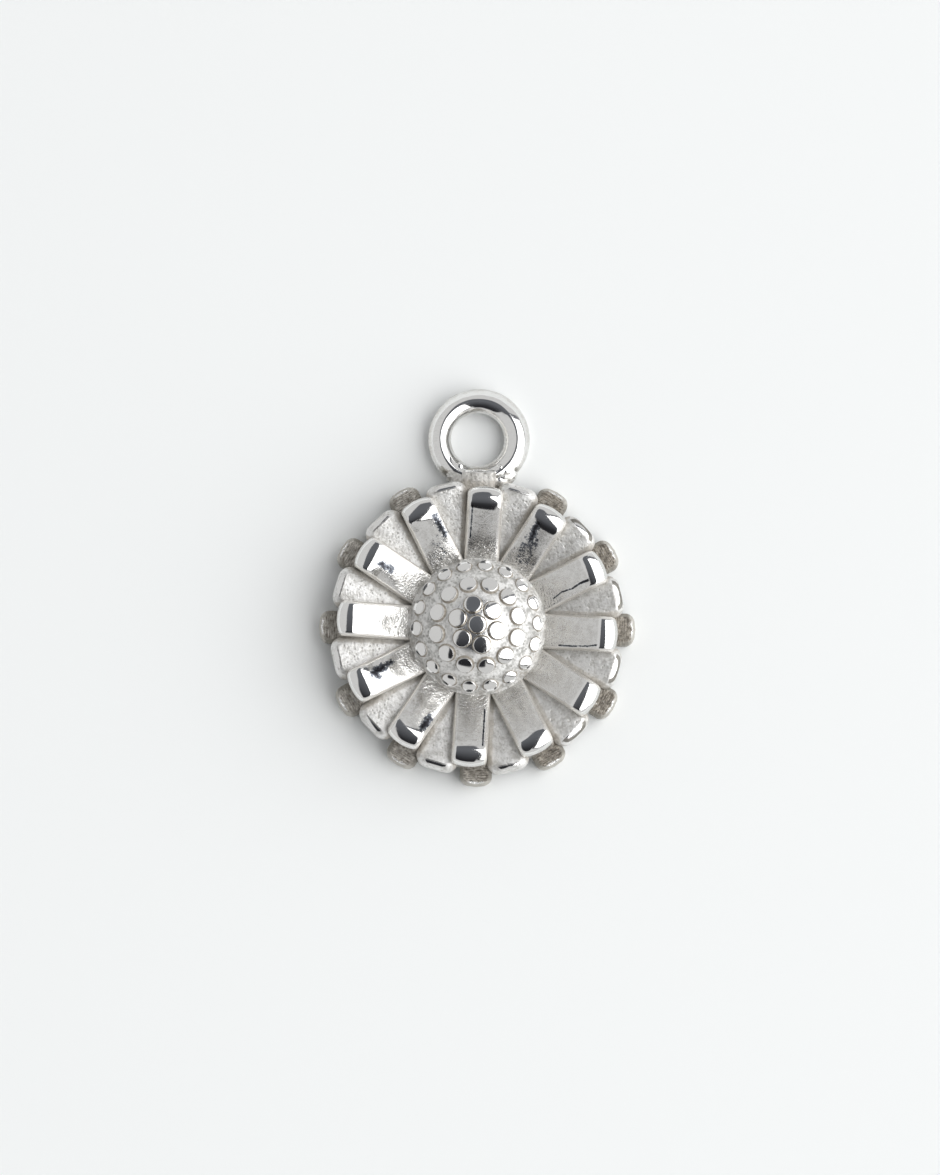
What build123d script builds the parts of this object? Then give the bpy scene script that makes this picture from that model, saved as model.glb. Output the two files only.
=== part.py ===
from build123d import *
import math
import os

# Flower pendant: a cast silver daisy with a hanging loop, lying on its back.
# The frame has its origin on the flower's axis in the plane of the back,
# +Z out of the flower's face and +Y towards the hanging loop.
# All lengths are millimetres and all angles degrees.

# The flower as a whole
petal_count = 12
flower_diameter = 15.0

# Lower petals: short tabs, the widest tier, standing out of the back plate
lower_length = 1.9
lower_width = 1.48
lower_height = 1.25
lower_corner = 0.3
lower_edge = 0.2
lower_back_edge = 0.1

# Middle petals: wedges that show between the upper petals
middle_inset = 0.5
middle_sink = 0.7
middle_lift = 0.87
middle_root_width = 1.1
middle_end_width = 1.95
middle_corner = 0.5
middle_rise = 9.0
middle_crest_radius = 0.6
middle_end_radius = 0.35
middle_turn = -1.5

# Upper petals: narrow bars with bevelled sides
upper_inset = 0.85
upper_sink = 0.15
upper_lift = 0.88
upper_top_width = 1.25
upper_base_width = 1.62
upper_bevel_depth = 0.8
upper_rise = 15.0
upper_crest_radius = 0.85
upper_end_radius = 0.45
upper_edge = 0.1
upper_turn = -3.0

# Where a crest's wide curve passes into the tighter curve of its end
crest_blend = 30.0
# A petal's faces that look this far sideways are its side walls
wall_facing = 0.7
# How far the petals reach in under the dome
petal_root_cover = 0.5

# Dome in the middle of the flower
dome_diameter = 6.4
dome_curve_radius = 3.7

# Studs on the dome: one in the middle and three rings round it
stud_diameter = 0.82
stud_cap_radius = 2.2
stud_wall = 0.09
stud_root = 0.25
stud_turn = 13.0
# Each ring has this many studs more than the one inside it
added_stud_count = 6
stud_rings = [
    # ring's radius over the dome's, stud's diameter over the largest one's
    (0.0, 1.0),
    (0.303, 1.0),
    (0.606, 0.95),
    (0.888, 0.7),
]

# Hanging loop: a round wire ring with a reamed hole, a step out from the lower petals' circle
loop_hole_diameter = 2.57
loop_wire = 1.15
loop_ream = 0.02
loop_step = 0.235
# The lower petal under the loop ends this far short of the hole
loop_petal_gap = 0.08

# Solder seat in the corners between the loop and the flower
seat_width = 2.5
seat_inset = 0.2
seat_corner = 0.35

petal_step = 360 / petal_count
lower_reach = flower_diameter / 2
middle_reach = lower_reach - middle_inset
middle_floor = lower_height - middle_sink
middle_crest_height = lower_height + middle_lift
upper_reach = lower_reach - upper_inset
upper_floor = lower_height - upper_sink
upper_crest_height = middle_crest_height + upper_lift
dome_foot_radius = dome_diameter / 2
petal_root = dome_foot_radius - petal_root_cover
loop_hole_edge = lower_reach + loop_step
loop_centre = loop_hole_edge + loop_hole_diameter / 2
loop_ring_radius = (loop_hole_diameter + loop_wire) / 2 - loop_ream
seat_reach = loop_centre - loop_ring_radius


def crest_start(reach, crest_height, rise, crest_radius, end_radius):
    """Distance outward and height at which a petal's rising flat passes into its crest."""
    lean = math.radians(rise)
    blend = math.radians(crest_blend)
    crest_distance = reach - end_radius - (crest_radius - end_radius) * math.sin(blend)
    distance = crest_distance - crest_radius * math.sin(lean)
    height = crest_height - crest_radius + crest_radius * math.cos(lean)
    return distance, height


def flat_height(at, distance, height, rise):
    """Height of a petal's rising flat at a distance from the flower's axis."""
    return height - (distance - at) * math.tan(math.radians(rise))


def side_outline(reach, floor, crest_height, rise, crest_radius, end_radius):
    """Side outline of a petal: it rises outward, rolls over its crest and drops to its floor."""
    distance, height = crest_start(reach, crest_height, rise, crest_radius, end_radius)
    with BuildLine() as outline:
        flat = Line((petal_root, flat_height(petal_root, distance, height, rise)), (distance, height))
        crest = JernArc(flat @ 1, flat % 1, crest_radius, -(rise + crest_blend))
        end = JernArc(crest @ 1, crest % 1, end_radius, -(90 - crest_blend))
        Polyline(end @ 1, (reach, floor), (petal_root, floor), flat @ 0)
    return outline.line


def rim_edges(petal, floor, edge_radius):
    """Edges between a petal's side walls and its top, crest and end."""
    walls = petal.faces().filter_by(lambda face: abs(face.normal_at().Y) > wall_facing)
    return walls.edges().filter_by(
        lambda edge: edge.center().X > petal_root + edge_radius and edge.center().Z > floor + edge_radius
    )


# Each petal is modelled along +X, from inside the dome to its end


def lower_petal(reach):
    """Short flat tab with rounded corners and edges."""
    with BuildPart() as tab:
        with BuildSketch(Plane.XY):
            with Locations(((petal_root + reach) / 2, 0)):
                Rectangle(reach - petal_root, lower_width)
        extrude(amount=lower_height)
        fillet(tab.edges().filter_by(Axis.Z).group_by(Axis.X)[-1], lower_corner)
        fillet(tab.faces().sort_by(Axis.Z)[-1].edges().sort_by(Axis.X)[1:], lower_edge)
        chamfer(tab.faces().sort_by(Axis.Z)[0].edges().sort_by(Axis.X)[1:], lower_back_edge)
    return tab.part


with BuildPart() as middle_petal:
    with BuildSketch(Plane.XZ):
        add(
            side_outline(
                middle_reach,
                middle_floor,
                middle_crest_height,
                middle_rise,
                middle_crest_radius,
                middle_end_radius,
            )
        )
        make_face()
    extrude(amount=middle_end_width, both=True)
    with BuildSketch(Plane.XY):
        with BuildLine():
            Polyline(
                (petal_root, -middle_root_width / 2),
                (middle_reach, -middle_end_width / 2),
                (middle_reach, middle_end_width / 2),
                (petal_root, middle_root_width / 2),
                close=True,
            )
        plan = make_face()
        fillet(plan.vertices().group_by(Axis.X)[-1], middle_corner)
    extrude(amount=middle_crest_height, mode=Mode.INTERSECT)

upper_crest_distance, upper_crest_start_height = crest_start(
    upper_reach, upper_crest_height, upper_rise, upper_crest_radius, upper_end_radius
)
upper_lean = math.radians(upper_rise)

with BuildPart() as upper_petal:
    with BuildSketch(Plane.XZ):
        add(
            side_outline(
                upper_reach,
                upper_floor,
                upper_crest_height,
                upper_rise,
                upper_crest_radius,
                upper_end_radius,
            )
        )
        make_face()
    extrude(amount=upper_base_width, both=True)
    across = Plane(
        origin=(upper_crest_distance, 0, upper_crest_start_height),
        x_dir=(0, 1, 0),
        z_dir=(math.cos(upper_lean), 0, math.sin(upper_lean)),
    )
    with BuildSketch(across):
        with BuildLine():
            Polyline(
                (-upper_top_width / 2, upper_edge),
                (-upper_top_width / 2, 0),
                (-upper_base_width / 2, -upper_bevel_depth),
                (-upper_base_width / 2, -upper_crest_height),
                (upper_base_width / 2, -upper_crest_height),
                (upper_base_width / 2, -upper_bevel_depth),
                (upper_top_width / 2, 0),
                (upper_top_width / 2, upper_edge),
                close=True,
            )
        make_face()
    extrude(amount=upper_reach, both=True, mode=Mode.INTERSECT)
    fillet(rim_edges(upper_petal, upper_floor, upper_edge), upper_edge)

# The dome's surface meets the upper petals' flats at the dome's foot
dome_foot_height = flat_height(dome_foot_radius, upper_crest_distance, upper_crest_start_height, upper_rise)
dome_centre_height = dome_foot_height - math.sqrt(dome_curve_radius**2 - dome_foot_radius**2)
dome_skirt_angle = math.degrees(math.acos((upper_floor - dome_centre_height) / dome_curve_radius))


def on_dome(radius, angle):
    """Plane that touches the dome at a distance from the flower's axis, facing outward."""
    tilt = math.asin(radius / dome_curve_radius)
    turn = math.radians(angle)
    outward = Vector(math.sin(tilt) * math.cos(turn), math.sin(tilt) * math.sin(turn), math.cos(tilt))
    return Plane(origin=Vector(0, 0, dome_centre_height) + outward * dome_curve_radius, z_dir=outward)


def stud(diameter):
    """Low round stud with a gently curved cap, rooted in the dome."""
    cap_height = stud_cap_radius - math.sqrt(stud_cap_radius**2 - (diameter / 2) ** 2)
    with BuildPart() as button:
        with BuildSketch(Plane.XZ):
            with BuildLine():
                cap = RadiusArc((0, stud_wall + cap_height), (diameter / 2, stud_wall), stud_cap_radius)
                Polyline(cap @ 1, (diameter / 2, -stud_root), (0, -stud_root), cap @ 0)
            make_face()
        revolve(axis=Axis.Z)
    return button.part


with BuildPart() as studded_dome:
    with BuildSketch(Plane.XZ):
        with BuildLine():
            apex = (0, dome_centre_height + dome_curve_radius)
            curve = JernArc(apex, (1, 0), dome_curve_radius, -dome_skirt_angle)
            Polyline(curve @ 1, (0, upper_floor), apex)
        make_face()
    revolve(axis=Axis.Z)
    for ring, (ring_share, diameter_share) in enumerate(stud_rings):
        stud_count = max(1, ring * added_stud_count)
        for index in range(stud_count):
            angle = 90 + stud_turn + index * 360 / stud_count
            with Locations(on_dome(ring_share * dome_foot_radius, angle)):
                add(stud(diameter_share * stud_diameter))

with BuildPart() as hanging_loop:
    with BuildSketch(Plane.XZ.offset(-loop_centre)):
        with Locations((loop_ring_radius, lower_height / 2)):
            Circle(loop_wire / 2)
    revolve(axis=Axis((0, loop_centre, 0), (0, 0, 1)))

with BuildPart() as solder_seat:
    with BuildSketch(Plane.XY.offset(seat_inset)):
        with Locations((0, (petal_root + seat_reach) / 2)):
            Rectangle(seat_width, seat_reach - petal_root)
    extrude(amount=lower_height - 2 * seat_inset)
    fillet(solder_seat.edges().filter_by(Axis.Z).group_by(Axis.Y)[-1], seat_corner)

# The real pendant is one piece of soldered metal, so its forms are joined into one solid
with BuildPart() as flower_pendant:
    with BuildSketch(Plane.XY):
        Circle(lower_reach - lower_length)
    extrude(amount=lower_height)
    add(studded_dome.part)
    with PolarLocations(0, petal_count, start_angle=90):
        add(lower_petal(lower_reach))
    with PolarLocations(0, 1, start_angle=90):
        add(lower_petal(loop_hole_edge - loop_petal_gap))
    with PolarLocations(0, petal_count, start_angle=90 + petal_step / 2 + middle_turn):
        add(middle_petal.part)
    with PolarLocations(0, petal_count, start_angle=90 + upper_turn):
        add(upper_petal.part)
    add(solder_seat.part)
    add(hanging_loop.part)
    with BuildSketch(Plane.XY):
        with Locations((0, loop_centre)):
            Circle(loop_hole_diameter / 2)
    extrude(amount=upper_crest_height, mode=Mode.SUBTRACT)

os.makedirs("parts", exist_ok=True)
flower_pendant.part.label = "flower_pendant"
export_step(flower_pendant.part, "parts/flower_pendant.step")
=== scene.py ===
import bmesh
import bpy
import math
from mathutils import Euler, Matrix, Vector, noise
from mathutils.geometry import intersect_point_line


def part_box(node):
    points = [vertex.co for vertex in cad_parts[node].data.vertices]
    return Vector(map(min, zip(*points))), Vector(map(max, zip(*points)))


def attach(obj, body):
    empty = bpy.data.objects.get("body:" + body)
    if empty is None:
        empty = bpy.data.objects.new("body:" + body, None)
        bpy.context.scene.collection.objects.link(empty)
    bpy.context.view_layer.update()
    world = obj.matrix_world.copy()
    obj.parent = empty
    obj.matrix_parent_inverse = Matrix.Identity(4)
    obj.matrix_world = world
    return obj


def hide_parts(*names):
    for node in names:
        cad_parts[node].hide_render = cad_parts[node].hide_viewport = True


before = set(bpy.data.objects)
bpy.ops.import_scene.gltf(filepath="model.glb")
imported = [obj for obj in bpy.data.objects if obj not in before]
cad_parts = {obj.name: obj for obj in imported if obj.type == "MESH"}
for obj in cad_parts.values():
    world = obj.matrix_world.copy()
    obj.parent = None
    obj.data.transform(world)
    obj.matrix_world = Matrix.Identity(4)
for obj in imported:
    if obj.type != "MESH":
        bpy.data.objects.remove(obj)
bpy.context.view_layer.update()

# Star plate: the flower's flat back and its twelve short lower petals, one casting of sterling silver.
# The petals' tops were left rough from the mould and have tarnished brown; only their rims were polished.
# Pieces are modelled in millimetres and brought down to metres when they are done.
mm = 0.001
lowest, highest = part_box("flower_pendant")
flower_radius = highest.x / mm
petal_count = 12
petal_angle = math.radians(360 / petal_count)
quarter = math.radians(90)

plate_sides = 96
plate_radius = 5.6
plate_height = 1.25
tab_sides = 4
tab_length = flower_radius - plate_radius
tab_half_width = 0.74
tab_corner = 0.32
tab_bow = 0.12
tab_flare = 0.06
tab_edge = 0.24
back_edge = 0.1
loop_tab_extra = 0.155


def select_only(piece):
    """Selects one object and makes it the active one."""
    bpy.ops.object.select_all(action="DESELECT")
    piece.select_set(True)
    bpy.context.view_layer.objects.active = piece


def apply_place(piece):
    """Puts an object's place, turn and scale into its mesh."""
    select_only(piece)
    bpy.ops.object.transform_apply(location=True, rotation=True, scale=True)


def open_piece(piece):
    """Opens a piece in edit mode with nothing selected."""
    select_only(piece)
    bpy.ops.object.mode_set(mode="EDIT")
    bpy.ops.mesh.select_all(action="DESELECT")


def close_piece():
    """Turns all faces outward and leaves edit mode."""
    bpy.ops.mesh.select_all(action="SELECT")
    bpy.ops.mesh.normals_make_consistent(inside=False)
    bpy.ops.object.mode_set(mode="OBJECT")


def select_edges(piece, test):
    """In edit mode, selects the edges that pass the test and nothing else."""
    bpy.ops.mesh.select_mode(type="EDGE")
    bpy.ops.mesh.select_all(action="DESELECT")
    mesh = bmesh.from_edit_mesh(piece.data)
    for edge in [edge for edge in mesh.edges if test(edge)]:
        edge.select_set(True)
    bmesh.update_edit_mesh(piece.data)


def middle(edge):
    return (edge.verts[0].co + edge.verts[1].co) / 2


def is_corner(edge):
    """Whether the two faces of an edge meet at a clear angle."""
    return edge.calc_face_angle(0.0) > 1.0


def is_upright(edge):
    return abs(edge.verts[0].co.z - edge.verts[1].co.z) > 0.5


def is_rim(edge, height):
    """Whether an edge lies at a height and is a corner."""
    return all(abs(vertex.co.z - height) < 0.01 for vertex in edge.verts) and is_corner(edge)


def clamp(value):
    """A value kept between 0 and 1."""
    return min(1.0, max(0.0, value))


def round_edges(radius, segments, turn=quarter):
    """Rounds the selected edges, whose faces turn by the given angle, to a radius."""
    bpy.ops.mesh.bevel(
        offset_type="OFFSET",
        offset=radius * math.tan(turn / 2),
        segments=segments,
        profile=0.5,
        affect="EDGES",
        clamp_overlap=False,
    )


def cut_across(axis, first, last, count):
    """Cuts an open piece through by evenly spaced planes across an axis."""
    normal = Vector((0.0, 0.0, 0.0))
    normal[axis] = 1.0
    for index in range(count):
        at = first + (last - first) * index / (count - 1)
        bpy.ops.mesh.select_all(action="SELECT")
        bpy.ops.mesh.bisect(plane_co=normal * at, plane_no=normal)


def add_rings(piece, profile):
    """Extrudes a round piece's open edge, ring by ring, through a profile of radii and heights."""
    for (radius, height), (next_radius, next_height) in zip(profile, profile[1:]):
        select_edges(piece, lambda edge: len(edge.link_faces) < 2 and abs(middle(edge).z - height) < 1e-4)
        bpy.ops.mesh.extrude_edges_move(TRANSFORM_OT_translate={"value": (0, 0, next_height - height)})
        bpy.ops.transform.resize(
            value=(next_radius / radius, next_radius / radius, 1.0),
            center_override=(0, 0, next_height),
        )


def apply_modifier(piece, kind, **settings):
    """Adds a modifier with its settings and applies it."""
    select_only(piece)
    modifier = piece.modifiers.new(kind.lower(), kind)
    for name, value in settings.items():
        setattr(modifier, name, value)
    bpy.ops.object.modifier_apply(modifier=modifier.name)


def smooth(piece, angle=35.0):
    """Smooth shading that keeps flats flat beside their rounded edges."""
    select_only(piece)
    bpy.ops.object.shade_smooth_by_angle(angle=math.radians(angle))
    apply_modifier(piece, "WEIGHTED_NORMAL", weight=60, keep_sharp=True)


def lay_map(piece, locate):
    """Lays a map in millimetres on a piece: locate turns a point into U and V."""
    while piece.data.uv_layers:
        piece.data.uv_layers.remove(piece.data.uv_layers[0])
    layer = piece.data.uv_layers.new(name="own_map")
    for corner in piece.data.loops:
        layer.data[corner.index].uv = locate(piece.data.vertices[corner.vertex_index].co)


def copy_of(piece, name, turn=0.0):
    """A copy of a piece with a mesh of its own, turned about the flower's axis."""
    twin = piece.copy()
    twin.data = piece.data.copy()
    twin.name = name
    bpy.context.scene.collection.objects.link(twin)
    twin.rotation_euler = (0.0, 0.0, turn)
    apply_place(twin)
    return twin


def real_size(piece):
    """Brings a piece that was modelled in millimetres down to metres, in its mesh."""
    piece.scale = (mm, mm, mm)
    apply_place(piece)


def join(pieces, name):
    select_only(pieces[0])
    for piece in pieces:
        piece.select_set(True)
    bpy.ops.object.join()
    pieces[0].name = name
    return pieces[0]


def add_node(tree, kind, inputs, **settings):
    """Adds a node and sets it up; an input is either a value or another node's socket."""
    made = tree.nodes.new("ShaderNode" + kind)
    for name, value in settings.items():
        setattr(made, name, value)
    for name, value in inputs.items():
        if isinstance(value, bpy.types.NodeSocket):
            tree.links.new(value, made.inputs[name])
        else:
            made.inputs[name].default_value = value
    return made


def calc(tree, operation, *values):
    """The result of a Math node."""
    return add_node(tree, "Math", dict(enumerate(values)), operation=operation).outputs[0]


def times(tree, first, second):
    return calc(tree, "MULTIPLY", first, second)


def plus(tree, first, second):
    return calc(tree, "ADD", first, second)


def minus(tree, first, second):
    return calc(tree, "SUBTRACT", first, second)


def parts_of(tree, vector):
    """X, Y and Z of a vector."""
    return add_node(tree, "SeparateXYZ", {"Vector": vector}).outputs


def soft_step(tree, value, start, end):
    """A soft step from 0 at start to 1 at end."""
    return add_node(
        tree,
        "MapRange",
        {"Value": value, "From Min": start, "From Max": end},
        interpolation_type="SMOOTHSTEP",
    ).outputs["Result"]


def band(tree, value, start, full, last, end):
    """A soft step up from 0 at start to 1 at full, and down again from last to end."""
    return times(tree, soft_step(tree, value, start, full), soft_step(tree, value, end, last))


def within(tree, value, full, end):
    """1 where a value is closer to zero than full, falling softly to 0 at end."""
    return soft_step(tree, calc(tree, "ABSOLUTE", value), end, full)


def blend(tree, factor, low, high):
    """A number that goes from low to high with the factor."""
    return add_node(tree, "MapRange", {"Value": factor, "To Min": low, "To Max": high}).outputs["Result"]


def blend_colour(tree, factor, low, high):
    """A colour that goes from low to high with the factor."""
    return add_node(tree, "Mix", {"Factor": factor, 6: low, 7: high}, data_type="RGBA").outputs[2]


def clouds(tree, vector, scale, detail=2.0, roughness=0.5):
    """Noise from about 0.3 to 0.7 with this many lumps to the millimetre."""
    return add_node(
        tree,
        "TexNoise",
        {"Vector": vector, "Scale": scale, "Detail": detail, "Roughness": roughness},
    ).outputs["Fac"]


def wobble(tree, vector, scale, detail=3.0, roughness=0.6):
    """The same noise, from about -0.2 to 0.2."""
    return minus(tree, clouds(tree, vector, scale, detail, roughness), 0.5)


def new_group(name, inputs, outputs):
    """An empty node group with its sockets, and the nodes at its two ends."""
    group = bpy.data.node_groups.new(name, "ShaderNodeTree")
    for end, sockets in (("INPUT", inputs), ("OUTPUT", outputs)):
        for socket, kind in sockets.items():
            group.interface.new_socket(socket, in_out=end, socket_type="NodeSocket" + kind)
    return group, group.nodes.new("NodeGroupInput").outputs, group.nodes.new("NodeGroupOutput").inputs


def place_group(tree, group, vector, **values):
    """A group's node in a material, with its own values."""
    return add_node(tree, "Group", {"Vector": vector, **values}, node_tree=group).outputs


# The casting's skin: fine grain from the mould with a few pits, as a height and as a shade
cast_skin, taken, given = new_group(
    "cast_skin",
    {"Vector": "Vector", "Grain": "Float"},
    {"Height": "Float", "Shade": "Float"},
)
fine = clouds(cast_skin, taken["Vector"], taken["Grain"], 3.0, 0.6)
coarse = clouds(cast_skin, taken["Vector"], times(cast_skin, taken["Grain"], 0.3), 2.0, 0.5)
pits = add_node(
    cast_skin,
    "TexVoronoi",
    {"Vector": taken["Vector"], "Scale": times(cast_skin, taken["Grain"], 0.55)},
).outputs["Distance"]
pit_edge = soft_step(cast_skin, pits, 0.05, 0.35)
grain_height = plus(cast_skin, times(cast_skin, fine, 0.55), times(cast_skin, coarse, 0.6))
grain_height = plus(cast_skin, grain_height, times(cast_skin, pit_edge, 0.25))
cast_skin.links.new(grain_height, given["Height"])
cast_skin.links.new(soft_step(cast_skin, grain_height, 0.66, 0.94), given["Shade"])
# The height's mean, which is taken off where a height is scaled, so that its scaling makes no step
skin_level = 0.8

# Hand polish: the slow waves that a buffing wheel leaves, with faint scratches
hand_polish, taken, given = new_group(
    "hand_polish",
    {"Vector": "Vector", "Waves": "Float"},
    {"Height": "Float", "Scratches": "Float"},
)
waves = clouds(hand_polish, taken["Vector"], taken["Waves"], 1.0, 0.4)
stretched = add_node(
    hand_polish,
    "Mapping",
    {"Vector": taken["Vector"], "Rotation": (0.3, 0.2, 0.7), "Scale": (1.0, 14.0, 5.0)},
).outputs["Vector"]
scratch = clouds(hand_polish, stretched, 1.6, 2.0, 0.7)
hand_polish.links.new(waves, given["Height"])
hand_polish.links.new(soft_step(hand_polish, scratch, 0.45, 0.75), given["Scratches"])

# Tarnish: brown and grey film in patches, thickest where the hollow input says that a cloth can't reach
tarnish, taken, given = new_group(
    "tarnish",
    {"Vector": "Vector", "Hollow": "Float", "Amount": "Float"},
    {"Mask": "Float", "Color": "Color"},
)
patches = wobble(tarnish, taken["Vector"], 1.7, 4.0, 0.65)
specks = wobble(tarnish, taken["Vector"], 9.0)
film = plus(tarnish, taken["Hollow"], times(tarnish, patches, 1.6))
film = plus(tarnish, film, times(tarnish, specks, 1.2))
film = soft_step(tarnish, film, 0.25, 1.1)
tarnish.links.new(times(tarnish, film, taken["Amount"]), given["Mask"])
pale = soft_step(tarnish, specks, -0.15, 0.15)
film_colour = blend_colour(tarnish, pale, (0.3, 0.265, 0.215, 1.0), (0.5, 0.46, 0.4, 1.0))
tarnish.links.new(film_colour, given["Color"])

silver_colour = (0.86, 0.855, 0.84, 1.0)


def new_material(name):
    """A metal material, with its shader and its coordinates in millimetres."""
    material = bpy.data.materials.new(name)
    material.use_nodes = True
    tree = material.node_tree
    shader = tree.nodes["Principled BSDF"]
    shader.inputs["Metallic"].default_value = 1.0
    coordinates = tree.nodes.new("ShaderNodeTexCoord")
    millimetres = add_node(
        tree,
        "Mapping",
        {"Vector": coordinates.outputs["Object"], "Scale": (1 / mm, 1 / mm, 1 / mm)},
    ).outputs["Vector"]
    return material, tree, shader, millimetres


def own_map(tree):
    """U and V of a piece's own map."""
    parts = parts_of(tree, add_node(tree, "UVMap", {}, uv_map="own_map").outputs["UV"])
    return parts["X"], parts["Y"]


def feed(tree, shader, colour, roughness, height, depth, metal=None):
    """Feeds the shader; a height of one makes a relief as deep as depth says, in millimetres."""
    tree.links.new(colour, shader.inputs["Base Color"])
    tree.links.new(roughness, shader.inputs["Roughness"])
    bump = add_node(tree, "Bump", {"Height": height, "Distance": depth * mm, "Strength": 1.0})
    tree.links.new(bump.outputs["Normal"], shader.inputs["Normal"])
    if metal:
        tree.links.new(metal, shader.inputs["Metallic"])


def dress(piece, material):
    piece.data.materials.clear()
    piece.data.materials.append(material)


def on_plate(point):
    """Distance outward and across on the nearest lower petal."""
    angle = math.atan2(point.y, point.x)
    off = angle - round(angle / petal_angle) * petal_angle
    return point.xy.length * math.cos(off), point.xy.length * math.sin(off)


bpy.ops.mesh.primitive_circle_add(vertices=plate_sides, radius=plate_radius, fill_type="NGON")
star_plate = bpy.context.active_object
star_plate.name = "star_plate"
open_piece(star_plate)
half_tab = math.radians(360 / plate_sides * tab_sides / 2)
for index in range(petal_count):
    direction = Vector((math.cos(index * petal_angle), math.sin(index * petal_angle), 0.0))
    under_loop = direction.y > 0.99
    select_edges(
        star_plate,
        lambda edge: abs(middle(edge).length / plate_radius - 1) < 0.01
        and middle(edge).angle(direction) < half_tab,
    )
    moved = direction * (tab_length + loop_tab_extra * under_loop)
    bpy.ops.mesh.extrude_edges_move(TRANSFORM_OT_translate={"value": moved})
bpy.ops.mesh.select_all(action="SELECT")
bpy.ops.mesh.dissolve_faces()
bpy.ops.mesh.extrude_region_move(TRANSFORM_OT_translate={"value": (0, 0, plate_height)})
select_edges(
    star_plate,
    lambda edge: is_upright(edge) and middle(edge).xy.length > plate_radius * 1.05 and is_corner(edge),
)
round_edges(tab_corner, 5)
select_edges(star_plate, lambda edge: is_rim(edge, plate_height))
round_edges(tab_edge, 5)
select_edges(star_plate, lambda edge: is_rim(edge, 0.0))
round_edges(back_edge, 3)
close_piece()
# The tabs widen a little outward and their ends bow
for vertex in star_plate.data.vertices:
    outward_at, across_at = on_plate(vertex.co)
    share = max(0.0, outward_at - plate_radius) / tab_length
    nearest = round(math.atan2(vertex.co.y, vertex.co.x) / petal_angle) * petal_angle
    outward_at -= tab_bow * (across_at / tab_half_width) ** 2 * share
    across_at *= 1 + tab_flare * share
    vertex.co.xy = Matrix.Rotation(nearest, 2) @ Vector((outward_at, across_at))
smooth(star_plate)
lay_map(star_plate, on_plate)
real_size(star_plate)

rough_silver, tree, shader, place = new_material("rough_silver")
outward, across = own_map(tree)
parts = parts_of(tree, place)
skin = place_group(tree, cast_skin, place, Grain=9.0)
ragged = times(tree, wobble(tree, place, 6.0), 0.045)
# How far a point is below the tab's top: the rough top, the polished roll of its edge, and the rim below
rim_drop = minus(tree, plate_height, plus(tree, parts["Z"], ragged))
inside_rim = soft_step(tree, rim_drop, 0.03, 0.004)
roll = band(tree, rim_drop, 0.004, 0.015, 0.03, 0.06)
roll = times(tree, roll, within(tree, across, 0.25, 0.45))
hollow = blend(tree, inside_rim, 0.45, 1.1)
amount = blend(tree, inside_rim, 0.6, 0.95)
film = place_group(tree, tarnish, place, Hollow=hollow, Amount=amount)
streak_map = add_node(tree, "CombineXYZ", {"X": times(tree, outward, 4.0), "Y": across}).outputs["Vector"]
streaks = soft_step(tree, clouds(tree, streak_map, 3.0, 3.0, 0.6), 0.38, 0.62)
shade = calc(tree, "MULTIPLY_ADD", streaks, 0.65, times(tree, skin["Shade"], 0.35))
colour = blend_colour(tree, film["Mask"], (0.5, 0.475, 0.43, 1.0), film["Color"])
colour = blend_colour(tree, shade, (0.1, 0.088, 0.072, 1.0), colour)
# The tabs on the left are painted lighter: a painted fill light where the flower shades them from the
# panel
painted_fill = soft_step(tree, parts["X"], 2.5, -3.0)
painted_fill_colour = blend_colour(tree, shade, (0.2, 0.18, 0.15, 1.0), (0.78, 0.75, 0.7, 1.0))
colour = blend_colour(tree, times(tree, painted_fill, 0.75), colour, painted_fill_colour)
# The rims are browner on the tabs' sides than on their ends
side_rim = soft_step(tree, calc(tree, "ABSOLUTE", across), 0.48, 0.62)
side_rim = times(tree, side_rim, soft_step(tree, outward, flower_radius - 0.2, flower_radius - 0.4))
rim_colour = blend_colour(tree, side_rim, (0.5, 0.482, 0.44, 1.0), (0.33, 0.312, 0.275, 1.0))
colour = blend_colour(tree, inside_rim, rim_colour, colour)
colour = blend_colour(tree, roll, colour, silver_colour)
roughness = minus(tree, blend(tree, inside_rim, 0.6, 0.42), times(tree, roll, 0.42))
metal = blend(tree, roll, 0.35, 1.0)
feed(tree, shader, colour, roughness, plus(tree, skin["Height"], streaks), 0.035, metal)
dress(star_plate, rough_silver)
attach(star_plate, "root")
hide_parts("flower_pendant")

# Middle petals: twelve satin wedges, cast in the same piece of silver, that show between the upper petals.
# Each rises a little towards a rounded lip, and only the lip was reached by the polishing wheel.
wedge_root = 2.7
wedge_reach = flower_radius - 0.5
wedge_floor = 0.55
wedge_crest = 2.12
wedge_rise = math.radians(9.0)
wedge_root_width = 1.4
wedge_end_width = 2.12
wedge_corner = 0.62
wedge_lip = 0.38
wedge_crown = 3.5
wedge_crown_start = 5.0
wedge_crown_ease = 1.2
wedge_crown_depth = 0.9
wedge_turn = math.radians(-1.5)
bar_width = 1.68


def add_block(low, high):
    """A rectangular block between two corners, opened for modelling."""
    low, high = Vector(low), Vector(high)
    bpy.ops.mesh.primitive_cube_add(size=1.0, location=(low + high) / 2, scale=high - low)
    block = bpy.context.active_object
    apply_place(block)
    open_piece(block)
    return block


def cut_top(point, lean):
    """Cuts an open piece off above a plane that falls outward by an angle, and closes it there."""
    bpy.ops.mesh.select_all(action="SELECT")
    bpy.ops.mesh.bisect(
        plane_co=point,
        plane_no=(math.sin(lean), 0.0, math.cos(lean)),
        use_fill=True,
        clear_outer=True,
    )


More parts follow.
